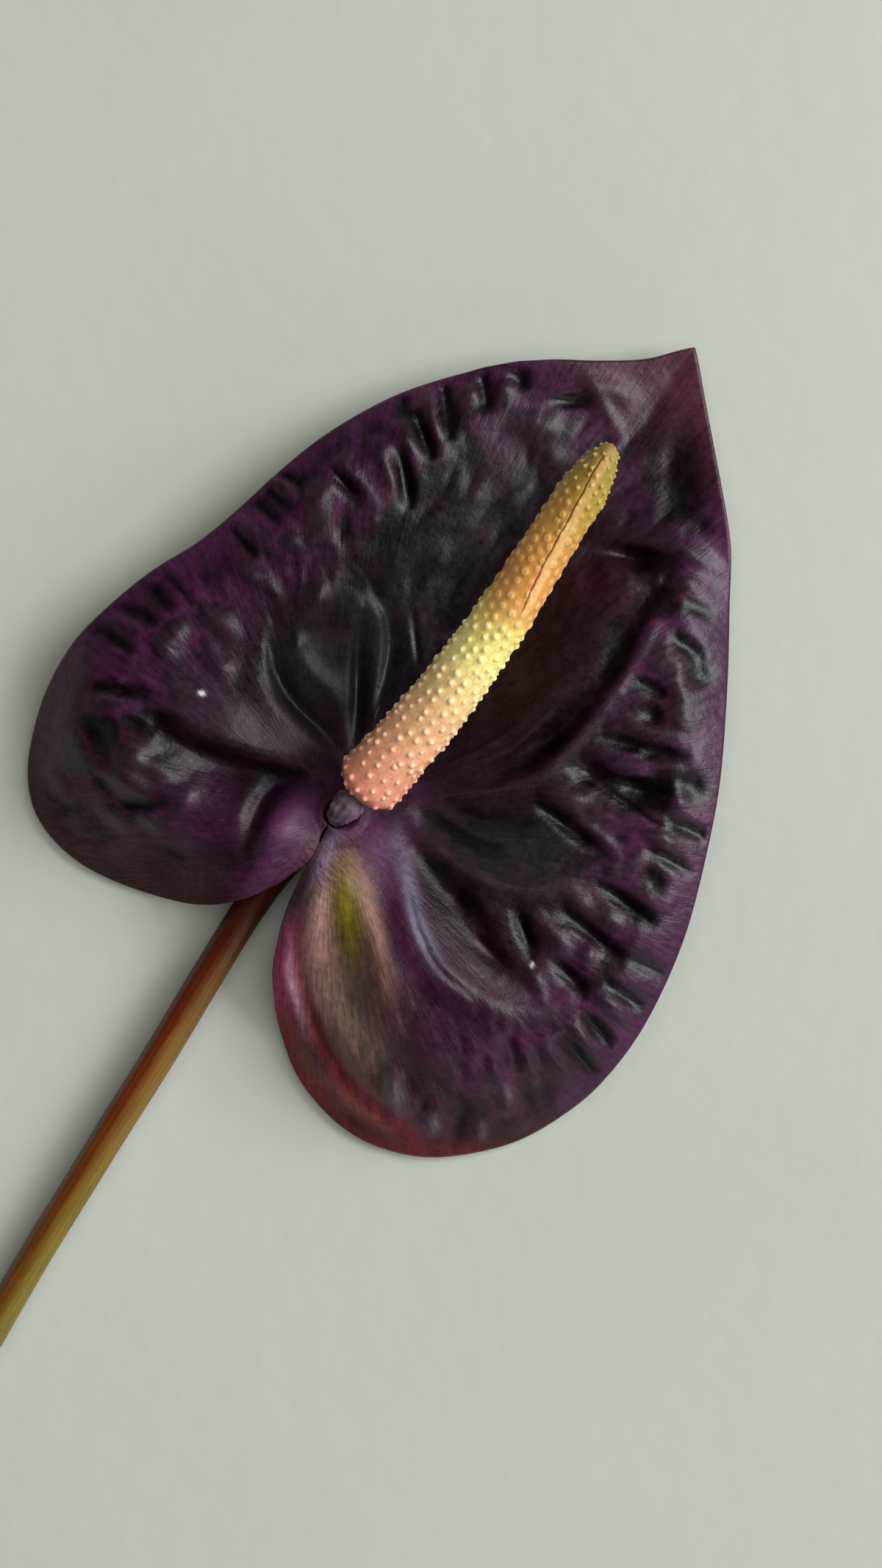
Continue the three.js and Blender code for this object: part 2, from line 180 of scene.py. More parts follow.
# Pleats: rise, half width, and the two ends of each short straight crease.
PLEATS = [
    # left margin, from the side up towards the tip
    (-0.7, 1.1, (-47, 0.2), (-40, 1)), (-0.6, 1.1, (-45.5, 5.6), (-40, 6.4)),
    (0.6, 1.0, (-45, 3), (-40.5, 3.6)), (-0.6, 1.2, (-43.5, 10.4), (-39.5, 9.2)),
    (-0.5, 0.5, (-45, 14), (-34, 11.6)), (0.7, 1.1, (-40, 27), (-33.6, 27)),
    (-0.9, 0.9, (-39, 25.6), (-34, 24.2)), (-0.7, 0.9, (-39.4, 31.2), (-34, 30.8)),
    (-0.8, 0.9, (-39.4, 33.8), (-34, 33.2)), (-0.8, 0.9, (-39, 37.4), (-34.6, 37.4)),
    (0.5, 0.8, (-39.4, 35.6), (-34.4, 35.4)), (-0.8, 1.2, (-41, -6.4), (-34, -2.8)),
    (0.6, 1.4, (-40, -8.6), (-34, -5.2)),
    # upper left, where the pleats turn towards the margin
    (-1.4, 1.0, (-31.4, 42), (-26, 41.4)), (0.7, 1.1, (-32, 44), (-23, 41.6)),
    (-1.7, 1.1, (-26, 50.6), (-20, 44.6)), (0.8, 1.0, (-30, 49.8), (-23.4, 45.6)),
    (-1.8, 1.1, (-27.4, 57), (-21.6, 53)), (0.7, 1.0, (-28.6, 54), (-23, 50.4)),
    (-1.6, 1.1, (-27, 63.2), (-21.4, 57)), (0.8, 1.0, (-28.6, 60.8), (-23.4, 56.2)),
    (-1.1, 1.0, (-23, 68), (-19.6, 64.6)), (-0.8, 1.1, (-31, 57.4), (-29, 55)),
    (-1.0, 1.4, (-19.2, 72.4), (-17, 71)), (-1.0, 1.1, (-13.6, 72.4), (-9.4, 75.6)),
    # right margin, from the side down to the lobe
    (-1.2, 1.1, (38, 16.4), (48.4, 16.6)), (-0.8, 1.0, (49, 10), (55, 11)),
    (-1.0, 1.0, (49, 4.8), (55, 5)), (0.8, 1.0, (48.4, 2.6), (55.4, 2.2)),
    (-1.2, 1.0, (48.8, -1.4), (54.6, -2.2)), (0.9, 0.9, (48.6, -3.6), (55, -5)),
    (-1.5, 1.0, (48, -6.2), (55.6, -7.6)), (1.1, 1.0, (45.6, -8), (54.6, -11)),
    (-1.0, 1.1, (41, -10.6), (45.4, -13.6)), (0.7, 0.9, (45, -11), (49.4, -13.6)),
    (0.8, 0.9, (41, -14.6), (45.4, -17.6)), (0.8, 0.9, (46.4, -16.8), (49, -20)),
    (-0.7, 0.9, (47.6, -15), (52, -18)), (-0.7, 1.0, (43.4, -25), (46, -29)),
    (0.7, 0.9, (40.4, -26.6), (42, -30)), (-0.6, 0.9, (37.6, -25.6), (39, -29)),
    (0.8, 1.1, (31, -26), (33.6, -29.4)), (-0.6, 0.9, (28.8, -25), (31, -29.4)),
    (0.5, 0.9, (25.4, -22), (27, -27)),
    # between the right half's cells
    (-1.3, 1.2, (24.6, 34.6), (37, 39.4)), (0.8, 1.3, (24, 37.6), (34, 41.4)),
    (-0.6, 0.4, (28, 28.5), (42, 29.4)), (0.8, 1.1, (28, 31), (34, 34)),
    (-1.5, 1.1, (22.6, 20.4), (36.4, 20.6)), (0.7, 1.0, (28, 22.6), (37, 22)),
    (-1.2, 1.0, (41, 30.6), (47, 32.2)), (-1.0, 0.9, (41, 25.2), (48, 26.4)),
    (-1.4, 1.2, (36, 9.8), (48, 9.2)), (0.9, 1.2, (33, 6.8), (40, 5.6)),
    (-1.3, 1.1, (30.6, 5.6), (36.4, 2.2)), (-1.3, 1.1, (40, 3), (46.6, 1.6)),
    (0.7, 1.0, (38, -0.4), (42, -2.4)), (-0.9, 1.1, (24, 45), (29.6, 46.2)),
    (-0.9, 1.3, (24, 54), (28.8, 54.4)), (-0.7, 1.2, (22.6, 59.4), (26, 60.4)),
    (-0.5, 0.4, (-8.6, 31), (-3.6, 26)),
]

# Blisters and hollows: x, y, half length, half width, angle in degrees, rise.
BLISTERS = [
    # left half
    (-32.6, 12.8, 3.4, 1.7, 8, 1.2), (-28.1, 7.4, 2.0, 1.5, 10, 1.1), (-37, 6.4, 1.5, 3.2, 0, 1.0),
    (-22.8, 24.4, 2.0, 3.2, 8, 1.5), (-21, 17.4, 1.1, 1.2, 0, 0.6), (-32.6, 21.8, 2.8, 1.3, 0, 1.0),
    (-32, 37.6, 1.6, 3.0, 24, 1.1), (-31.2, 29.6, 1.6, 1.6, 0, 0.7), (-28.8, 31, 1.0, 1.2, 0, 0.5),
    (-27.6, 33, 2.2, 1.6, 0, 0.6), (-16, 27, 2.4, 3.2, -30, 0.9), (-15, 14, 6, 3.2, 8, 0.9),
    (-12, 68, 3.6, 2.4, 20, 1.3), (-20, 69.4, 1.3, 1.3, 0, 0.7), (-24, 65.6, 1.6, 1.3, 30, 0.9),
    (-7, 79.6, 3.2, 1.8, 20, 1.0), (-8, 65.6, 2.4, 1.5, 20, 0.6), (-25, 3.4, 5, 2.6, 10, 0.5),
    # left lobe
    (-30.4, -12.2, 2.2, 2.8, 10, 1.5), (-26.2, -11.4, 2.6, 1.3, 15, 1.0), (-28, -15.6, 2.6, 1.5, 20, 1.2),
    (-22.4, -18.4, 2.0, 1.2, 0, 1.1), (-27, -21.4, 2.8, 1.3, 0, 0.9), (-37, -17, 4, 1.9, 0, 1.1),
    (-37, -12.6, 2.8, 1.9, 0, -1.0), (-25.6, -17.6, 2.2, 0.9, 35, -1.0), (-32, -18, 2.4, 1.2, 0, -0.7),
    (-20, -13, 1.2, 2.4, 0, 0.5), (-38.6, -22.6, 3, 1.4, -15, 0.6), (-43.6, -12, 2, 3.4, 0, 0.4),
    # right half
    (35.6, 32.2, 4.2, 1.9, 22, -2.3), (28, 29.4, 2.8, 1.7, 10, -2.0), (27, 23.8, 3.2, 1.5, 22, 1.2),
    (43, 28, 2.4, 1.2, 15, 0.9), (41.4, 22.6, 1.3, 1.7, 0, 0.8), (39.6, 19.6, 1.2, 1.6, 0, 0.7),
    (38, 12.4, 2.6, 1.5, -8, 1.1), (43.6, 13, 2.4, 1.4, 0, 0.9), (44.6, 6.4, 1.2, 1.8, 20, 0.9),
    (24, 1, 3.4, 1.5, 0, -0.9), (33, -2.6, 3.2, 1.2, -5, -0.9), (46, 22, 1.8, 1.5, 0, -0.6),
    (29.8, 42.6, 1.7, 1.7, 0, -0.9), (31.6, 52.2, 2.2, 1.8, 0, -0.9), (41.4, 37.4, 2.2, 1.8, 0, -1.0),
    (26, 50, 2.8, 2.2, 10, 0.8), (31, 48, 2, 2, 0, 0.6), (41, 34, 1.8, 1.2, 20, 0.8),
    (34, 45, 2.6, 2.6, 0, 0.6), (21.6, 62.4, 2.6, 1.6, 20, 0.7), (8, 77.6, 2.2, 3.4, 30, -0.9),
    (12, 73, 3, 3.6, 30, -1.0), (18, 71.4, 1.4, 1.4, 0, -0.5), (9.6, 68.6, 3, 2.6, 0, 0.5),
    (18.6, 28.4, 1.5, 3.2, -15, -1.0), (13, 61, 3.2, 1.6, 25, -0.9), (11, 56.6, 2.4, 2.6, 0, 0.6),
    (53.4, -21.6, 1.4, 1.4, 0, 0.4), (50.6, -23, 1.4, 1.2, 0, -0.4), (36, -29.6, 3, 1.2, 0, 0.5),
]

# Patches of colour, one of them painted shade: colour, strength, and the spot as x, y, half length, half
# width, angle.
PATCHES = [
    ((50, 14, 38), 0.7, (36, -14, 16, 11, 0)),
    ((56, 22, 46), 0.7, (-15, -11, 8, 6, -40)),
    # painted shade, partly the blade's own near-black: the dark panel left of the spadix
    ((9, 8, 10), 0.9, (-6, 42, 15, 27, 0)),
    ((34, 14, 8), 0.8, (9, 38, 8, 18, 10)),
    ((46, 6, 10), 0.5, (9, 54, 6, 6, 0)),
    ((26, 28, 25), 0.85, (-16, 15, 10, 5.5, -18)),
    ((26, 29, 24), 0.85, (24, 11, 12, 5.5, 22)),
    ((24, 28, 24), 0.7, (-13, 25, 6, 5, -40)),
]

# Streaks of colour, among them painted highlights and a painted reflection: colour, strength, width on
# the left of the path and on its right, the path.
STREAKS = [
    # left inner bulge
    ((86, 42, 80), 0.9, 3.4, 3.2, [(-4.6, 1), (-5.2, -5), (-4.2, -12)]),
    # right lobe: streaks that fan out from the node
    ((124, 90, 82), 0.92, 6, 6, [(5, -9), (10, -17), (18, -23), (28, -28)]),
    ((152, 118, 110), 0.85, 1.5, 2, [(2.6, -5.3), (7, -14), (12, -22), (19, -26)]),
    ((136, 98, 84), 0.85, 1.6, 1.8, [(6, -3.6), (10.3, -6.3), (15, -9.8), (18.5, -13), (23, -17)]),
    ((152, 124, 108), 0.85, 2.6, 2.6, [(13, -19), (19, -23.6), (27, -27)]),
    ((124, 84, 78), 0.8, 2, 2.4, [(11, -24), (18, -29), (27, -31.6)]),
    ((128, 54, 40), 0.75, 1.8, 1.8, [(9, -28), (14.4, -33), (22, -36.6), (29, -37.6)]),
    ((76, 28, 34), 0.75, 0.9, 0.8, [(3, -10), (5.4, -16), (9.6, -23.6), (15, -28.6)]),
    ((70, 24, 52), 0.8, 1.8, 1.8, [(7, 2), (13.8, -2.8), (19, -7), (25, -12)]),
    ((120, 46, 54), 0.85, 2, 2, [(5, -17), (12, -24.6), (20, -30), (30, -33), (42, -33)]),
    ((120, 38, 74), 0.85, 2, 2, [(4, -17), (8, -25), (15, -32.4)]),
    ((160, 116, 112), 0.6, 1.2, 1.2, [(8, -18), (14, -24.6), (22, -28)]),
    ((66, 16, 28), 0.75, 0.9, 0.9, [(8.9, -20.5), (15.6, -26.9), (23.3, -31), (31.1, -34.1)]),
    # painted highlight: a pale pink-grey streak along a pleat of the right lobe
    ((146, 112, 130), 0.7, 0.9, 0.8, [(6, -19.8), (9.2, -24.4), (13.3, -27.9), (18.3, -31.5)]),
    ((140, 74, 54), 0.7, 1.1, 1.1, [(24.5, -34.2), (30.4, -35.4), (37, -35.3)]),
    # painted highlights: grey streaks on the small pleats near the right lobe's lower margin
    ((104, 92, 98), 0.7, 1.1, 1.1, [(31.6, -27.9), (37.1, -31.2)]),
    ((100, 88, 100), 0.7, 0.6, 0.6, [(40.5, -28.5), (43, -30.7)]),
    ((100, 88, 100), 0.7, 0.6, 0.6, [(48.1, -25.1), (50.4, -27.5)]),
    ((100, 88, 100), 0.7, 0.6, 0.6, [(47, -17.7), (49.4, -19.6)]),
    ((114, 100, 12), 0.95, 2, 2.2, [(5.6, -5.4), (8.6, -8.6), (12.2, -12.2), (17, -17.4)]),
    ((118, 98, 122), 0.75, 1.3, 1.3, [(1.6, -2), (3, -8), (3.6, -12)]),
    ((26, 10, 12), 0.6, 0.7, 0.7, [(1.6, -7), (2.6, -12), (4, -17)]),
    ((82, 46, 76), 0.75, 3, 2.4, [(4, 2), (8, 1), (12, -3)]),
    # a grey painted reflection along the ridge over the right lobe
    ((92, 90, 106), 0.75, 1.2, 1.4, [(9, 3), (14, -0.4), (20, -5.4), (27, -8.8)]),
]


# ------------------------------------------------------------------ numbers and curves

def smooth(value, low, high):
    t = np.clip((value - low) / (high - low), 0, 1)
    return t * t * (3 - 2 * t)


def bell(distance, width):
    return np.exp(-((distance / width) ** 2))


def mix(a, b, share):
    return a + (b - a) * share


def catmull_rom(points, count):
    """`count` points spread evenly along the smooth curve through the given ones."""
    p = np.array(points, float)
    p = np.vstack([2 * p[0] - p[1], p, 2 * p[-1] - p[-2]])
    t = np.linspace(0, len(points) - 1, 40 * (len(points) - 1) + 1)
    i = np.minimum(t.astype(int), len(points) - 2)
    f = (t - i)[:, None]
    a, b, c, d = p[i], p[i + 1], p[i + 2], p[i + 3]
    curve = (2 * f**3 - 3 * f**2 + 1) * b + (f**3 - 2 * f**2 + f) * (c - a) / 2
    curve += (3 * f**2 - 2 * f**3) * c + (f**3 - f**2) * (d - b) / 2
    along = np.r_[0, np.cumsum(np.linalg.norm(np.diff(curve, axis=0), axis=1))]
    even = np.linspace(0, along[-1], count)
    return np.column_stack([np.interp(even, along, curve[:, k]) for k in range(p.shape[1])])


def at_share(line, share):
    """The point at `share` of the way along a line of evenly spread points."""
    where = np.clip(share, 0, 1) * (len(line) - 1)
    steps = np.arange(len(line))
    return np.stack([np.interp(where, steps, line[:, k]) for k in range(line.shape[1])], axis=-1)


def nearest(line, x, y):
    """Distance in plan to a line (its sign is + on the line's left) and the share along it."""
    best = np.full(x.shape, np.inf)
    side = np.ones(x.shape)
    along = np.zeros(x.shape)
    for k in range(len(line) - 1):
        ax, ay = line[k][:2]
        dx, dy = line[k + 1][:2] - line[k][:2]
        t = np.clip(((x - ax) * dx + (y - ay) * dy) / (dx * dx + dy * dy), 0, 1)
        ox, oy = x - ax - t * dx, y - ay - t * dy
        distance = np.hypot(ox, oy)
        closer = distance < best
        best = np.where(closer, distance, best)
        side = np.where(closer, np.sign(dx * oy - dy * ox), side)
        along = np.where(closer, (k + t) / (len(line) - 1), along)
    return best, side, along


def near_line(points, x, y, left, right, fade=0.1):
    """A soft band along a curve: 1 on it, falling to 0 over its left and right widths."""
    line = catmull_rom(points, 6 * len(points))
    reach = 3 * max(left, right)
    low, high = line.min(axis=0) - reach, line.max(axis=0) + reach
    inside = (x > low[0]) & (x < high[0]) & (y > low[1]) & (y < high[1])
    band = np.zeros(x.shape)
    distance, side, along = nearest(line, x[inside], y[inside])
    ends = np.sin(np.pi * (fade + (1 - 2 * fade) * along))
    band[inside] = bell(distance, np.where(side > 0, left, right)) * ends
    return band


def near_spot(spot, x, y):
    """A soft ellipse: 1 in its middle. `spot` is x, y, half length, half width, angle."""
    cx, cy, length, width, angle = spot
    c, s = math.cos(math.radians(angle)), math.sin(math.radians(angle))
    u = ((x - cx) * c + (y - cy) * s) / length
    v = (-(x - cx) * s + (y - cy) * c) / width
    return np.exp(-(u * u + v * v))


def grid_normals(points):
    """Unit normals of a grid of points, rows along the first axis."""
    normal = np.cross(np.gradient(points, axis=0), np.gradient(points, axis=1))
    return normal / np.maximum(np.linalg.norm(normal, axis=-1, keepdims=True), 1e-9)


def linear(color):
    """Linear RGB of a colour that is given in sRGB, 0 to 255."""
    c = np.array(color, float) / 255
    return np.where(c <= 0.04045, c / 12.92, ((c + 0.055) / 1.055) ** 2.4)


# ------------------------------------------------------------------ the flower's place

EDGE_LEFT = catmull_rom(LEFT_MARGIN, 241)
EDGE_RIGHT = catmull_rom(RIGHT_MARGIN, 241)


def node_place():
    """Where the node stands in the row frame: the outline's box fits the spathe's box."""
    low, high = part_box("spathe")
    edge = np.vstack([EDGE_LEFT, EDGE_RIGHT]) * MM
    middle = (edge.min(axis=0) + edge.max(axis=0)) / 2
    return np.array([(low[0] + high[0]) / 2 - middle[0], (low[1] + high[1]) / 2 - middle[1], 0])


NODE = node_place()


def make_object(name, points, faces, node):
    """A mesh piece from points in millimetres about the node, riding on the flower's body."""
    mesh = bpy.data.meshes.new(name)
    mesh.from_pydata((np.asarray(points) * MM + NODE).tolist(), [], faces)
    mesh.validate()
    for polygon in mesh.polygons:
        polygon.use_smooth = True
    piece = bpy.data.objects.new(name, mesh)
    bpy.context.scene.collection.objects.link(piece)
    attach(piece, "root")
    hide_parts(node)
    return piece


def set_attribute(piece, name, values):
    """Stores one number, or one colour, for each point of a piece."""
    values = np.asarray(values, np.float32)
    if values.ndim == 1:
        layer = piece.data.attributes.new(name, "FLOAT", "POINT")
        layer.data.foreach_set("value", values)
        return
    layer = piece.data.attributes.new(name, "FLOAT_COLOR", "POINT")
    rgba = np.column_stack([values, np.ones(len(values), np.float32)])
    layer.data.foreach_set("color", rgba.ravel())


# ------------------------------------------------------------------ materials

class Nodes:
    """A short way to write a material's nodes."""

    def __init__(self, name):
        self.material = bpy.data.materials.new(name)
        self.material.use_nodes = True
        self.tree = self.material.node_tree
        self.shader = self.tree.nodes["Principled BSDF"]

    def set(self, **values):
        """Sets constant values on the shader's own sockets."""
        for socket, value in values.items():
            self.shader.inputs[socket.replace("_", " ")].default_value = value

    def link(self, source, socket):
        self.tree.links.new(source, self.shader.inputs[socket])

    def add(self, kind, inputs=(), **settings):
        node = self.tree.nodes.new("ShaderNode" + kind)
        for key, value in settings.items():
            setattr(node, key, value)
        for key, value in dict(inputs).items():
            if isinstance(value, bpy.types.NodeSocket):
                self.tree.links.new(value, node.inputs[key])
            else:
                node.inputs[key].default_value = value
        return node

    def attribute(self, name, output="Fac"):
        return self.add("Attribute", attribute_name=name).outputs[output]

    def place(self, scale=(1, 1, 1)):
        """Object coordinates in metres, stretched by `scale`."""
        where = self.add("TexCoord").outputs["Object"]
        return self.add("Mapping", {"Vector": where, "Scale": scale}).outputs["Vector"]

    def noise(self, where, scale, detail=4.0, roughness=0.55):
        inputs = {"Vector": where, "Scale": scale, "Detail": detail, "Roughness": roughness}
        return self.add("TexNoise", inputs).outputs["Fac"]

    def math(self, operation, a, b):
        return self.add("Math", {0: a, 1: b}, operation=operation).outputs[0]

    def ranged(self, value, low, high, to_low=0.0, to_high=1.0):
        inputs = {"Value": value, "From Min": low, "From Max": high, "To Min": to_low, "To Max": to_high}
        return self.add("MapRange", inputs).outputs["Result"]

    def blend(self, share, a, b, kind="MIX"):
        node = self.add("Mix", data_type="RGBA", blend_type=kind)
        for key, value in (("Factor_Float", share), ("A_Color", a), ("B_Color", b)):
            socket = next(s for s in node.inputs if s.identifier == key)
            if isinstance(value, bpy.types.NodeSocket):
                self.tree.links.new(value, socket)
            else:
                socket.default_value = value
        return next(s for s in node.outputs if s.identifier == "Result_Color")

    def over(self, share, color, srgb):
        """Lays an sRGB colour over another one."""
        return self.blend(share, color, (*linear(srgb), 1))

    def shaded(self, color, factor):
        """A colour made lighter or darker by `factor`."""
        grey = {"Red": factor, "Green": factor, "Blue": factor}
        return self.blend(1.0, color, self.add("CombineColor", grey).outputs["Color"], "MULTIPLY")

    def times(self, a, b):
        return self.math("MULTIPLY", a, b)

    def ramp(self, value, stops):
        """A colour that changes along `value`; the stops are (place, sRGB colour)."""
        node = self.add("ValToRGB", {"Fac": value})
        ramp = node.color_ramp
        ramp.interpolation = "B_SPLINE"
        while len(ramp.elements) < len(stops):
            ramp.elements.new(1.0)
        for element, (place, color) in zip(ramp.elements, stops):
            element.position = place
            element.color = (*linear(color), 1)
        return node.outputs["Color"]

    def bump(self, height, distance, strength=1.0, after=None):
        inputs = {"Height": height, "Distance": distance, "Strength": strength}
        if after is not None:
            inputs["Normal"] = after
        return self.add("Bump", inputs).outputs["Normal"]


# ------------------------------------------------------------------ the spathe

def blade_plan(column, row):
    """Where a point of the spathe lies in plan; both arguments run from 0 to 1."""
    left = column <= LEFT_SHARE
    step = np.where(left, column / LEFT_SHARE, (1 - column) / (1 - LEFT_SHARE))
    angle = -math.pi / 2 - NODE_HALF_GAP - column * (2 * math.pi - 2 * NODE_HALF_GAP)
    start = NODE_RADIUS * np.stack([np.cos(angle), np.sin(angle)], axis=-1)
    margin_share = SINUS_SHARE + (1 - SINUS_SHARE) * step
    pick = left[..., None]
    end = np.where(pick, at_share(EDGE_LEFT, margin_share), at_share(EDGE_RIGHT, margin_share))
    share = row[..., None]
    point = mix(start, end, share)

    sinus_angle = -math.pi / 2 + NODE_HALF_GAP * np.where(left, -1, 1)
    sinus_start = NODE_RADIUS * np.stack([np.cos(sinus_angle), np.sin(sinus_angle)], axis=-1)
    sinus_end = np.where(pick, at_share(EDGE_LEFT, SINUS_SHARE), at_share(EDGE_RIGHT, SINUS_SHARE))
    chord = mix(sinus_start, sinus_end, share)
    edge_share = SINUS_SHARE * row
    edge = np.where(pick, at_share(EDGE_LEFT, edge_share), at_share(EDGE_RIGHT, edge_share))
    hug = np.maximum(0, 1 - step / (2 * SINUS_REACH)) ** 2 * np.minimum(1, row * SINUS_BLEND)
    return point + (edge - chord) * hug[..., None]


def margin_distance(x, y):
    distances = [nearest(edge[::2], x, y)[0] for edge in (EDGE_LEFT, EDGE_RIGHT)]
    return np.minimum(*distances)


def blade_height(x, y, edge):
    """Height of the spathe's upper face above the surface that the flower lies on."""
    side = np.abs(x)
    cup = CUP_RISE * mix(1, smooth(side, 4, 26), smooth(y, -8, 12))
    tip = smooth(y, 36, 96)
    z = BLADE_LEVEL + cup * (1 - 0.8 * tip) - TIP_DROP * tip**1.5
    z += SHOULDER_RISE * bell(side - 6, 6) * bell(y + 9, 10)
    for cx, cy, wide, deep, rise in LOBES:
        z += rise * bell(x - cx, wide) * bell(y - cy, deep)
    lobe = smooth(-y, -5, 24) * smooth(side, 3, 17)
    drop = mix(SIDE_ROLL[0], LOBE_ROLL[0], lobe)
    width = mix(SIDE_ROLL[1], LOBE_ROLL[1], lobe)
    ease = mix(0.3, 1, smooth(np.hypot(x, y), 5, 16)) * (1 - smooth(y, 60, 80))
    z -= drop * ease * np.clip(1 - edge / width, 0, 1) ** ROLL_CURVE
    return z + TIP_KEEL * (np.hypot(side, 3) - 3) * smooth(y, 66, 84)


def blade_relief(x, y, edge):
    """Folds, pleats, blisters and the soft unevenness of the blade."""
    folds, small = np.zeros(x.shape), crumples(x, y, edge)
    for rise, left, right, path in FOLDS:
        folds += 0.85 * rise * near_line(path, x, y, 1.1 * left, 1.1 * right)
    for rise, width, start, end in PLEATS:
        start, end = sorted((start, end), key=lambda point: math.hypot(*point))
        run = math.dist(start, end)
        end = tuple(e + PLEAT_RUN * (e - s) / run for s, e in zip(start, end))
        small += rise * near_line([start, end], x, y, width, width, fade=0)
    for cx, cy, length, width, angle, rise in BLISTERS:
        small += 0.95 * rise * near_spot((cx, cy, 1.05 * length, 1.05 * width, angle), x, y)
    calm = smooth(edge, 0.6, 4) * smooth(np.hypot(x, y), 3, 9)
    waves = np.sin(x * 0.51 + 1.3 * np.sin(y * 0.23)) * np.sin(y * 0.47 + 1.1 * np.sin(x * 0.19))
    collar = 1.0 * bell(np.hypot(x - 0.4, y - 0.8) - 3.0, 0.9) * (1 - smooth(y, 1.5, 4.5))
    held = smooth(edge, -0.2, 1.8)
    return folds * held, small * held + 0.12 * calm * waves, collar


def crumples(x, y, edge):
    """Small uneven puckers that run outwards, mostly in the pleated band inside the margin."""
    random = np.random.default_rng(11)
    z = np.zeros(x.shape)
    for _ in range(PUCKERS):
        column = int(random.uniform(0.06, 0.94) * x.shape[0])
        row = int(random.uniform(0.45, 0.96) * x.shape[1])
        cx, cy = x[column, row], y[column, row]
        angle = math.degrees(math.atan2(cy, cx)) + random.normal(0, 22)
        length, width = random.uniform(1.6, 4.0), random.uniform(0.6, 1.2)
        rise = random.choice((-1, 1)) * random.uniform(0.06, 0.24)
        near = (abs(x - cx) < 10) & (abs(y - cy) < 10)
        z[near] += rise * near_spot((cx, cy, length, width, angle), x[near], y[near])
    calm = 1 - 0.8 * near_spot((13, -21, 15, 9, -48), x, y)
    return z * calm * smooth(edge, 0.6, 3) * (1 - 0.5 * smooth(edge, 16, 26))


def blade_colors(x, y, edge, relief):
    """The colour: near-black maroon, purple margins that are partly painted sheen, raised parts with
    painted sheen and hollows with painted shade, patches round the node, and painted highlights, a
    painted reflection and painted shade in places.
    """
    color = np.tile(linear((26, 13, 21)), (x.size, 1))

    def paint(srgb, mask):
        share = np.clip(mask, 0, 1)[:, None]
        color[:] = mix(color, linear(srgb), share)

    # partly painted sheen: a purple band along the margin, over the blade's own purple
    paint((50, 22, 44), 0.8 * (1 - smooth(edge, 0.5, 8)))
    # painted sheen and shade by relief: raised parts made lighter purple-grey, slight rises near the
    # margin purple, hollows near black
    paint((54, 34, 49), 0.6 * smooth(relief, 0, 1.2))
    paint((70, 26, 58), 0.6 * bell(relief - 0.15, 0.25) * (1 - smooth(edge, 12, 22)))
    paint((4, 1, 3), 0.92 * smooth(-relief, 0, 0.8))
    for srgb, strength, spot in PATCHES:
        paint(srgb, strength * near_spot(spot, x, y))
    paint((64, 30, 38), 0.9 * smooth(y, 72, 87))
    # painted shade: the right side of the tip made near black
    paint((14, 10, 13), 0.9 * near_spot((9, 75, 5, 9, 30), x, y))
    # the lobes' backs are red-brown along the margin
    paint((44, 12, 6), 0.9 * (1 - smooth(edge, 0, 7)) * smooth(-y, 14, 24))
    for srgb, strength, left, right, path in STREAKS:
        paint(srgb, strength * near_line(path, x, y, left, right))
    # the right lobe's lowest margin is dark red
    paint((92, 18, 20), 0.85 * (1 - smooth(edge, 0, 4)) * smooth(-y, 24, 31) * smooth(x, 6, 16))
    # two pale flecks
    paint((235, 235, 232), near_spot((-28, 2.3, 0.7, 0.4, 20), x, y) ** 2)
    paint((220, 220, 224), near_spot((38.5, 0, 0.4, 0.4, 0), x, y) ** 2)
    return color


def stitch(upper, lower, step):
    """Faces between two closed rings of points; `upper` has `step` times as many."""
    faces = []
    for k, b in enumerate(lower):
        c = lower[(k + 1) % len(lower)]
        for n in range(step):
            a0 = upper[k * step + n]
            a1 = upper[(k * step + n + 1) % len(upper)]
            faces.append((a0, a1, b if n < step - 1 else c))
            if n == step - 1:
                faces.append((a0, c, b))
    return faces


def rim_walk(columns, rows, at):
    """The grid's border as a closed ring, clockwise as seen from above."""
    ring = [at(0, j) for j in range(rows)]
    ring += [at(i, rows) for i in range(columns)]
    ring += [at(columns, j) for j in range(rows, 0, -1)]
    ring += [at(i, 0) for i in range(columns, 0, -1)]
    return ring


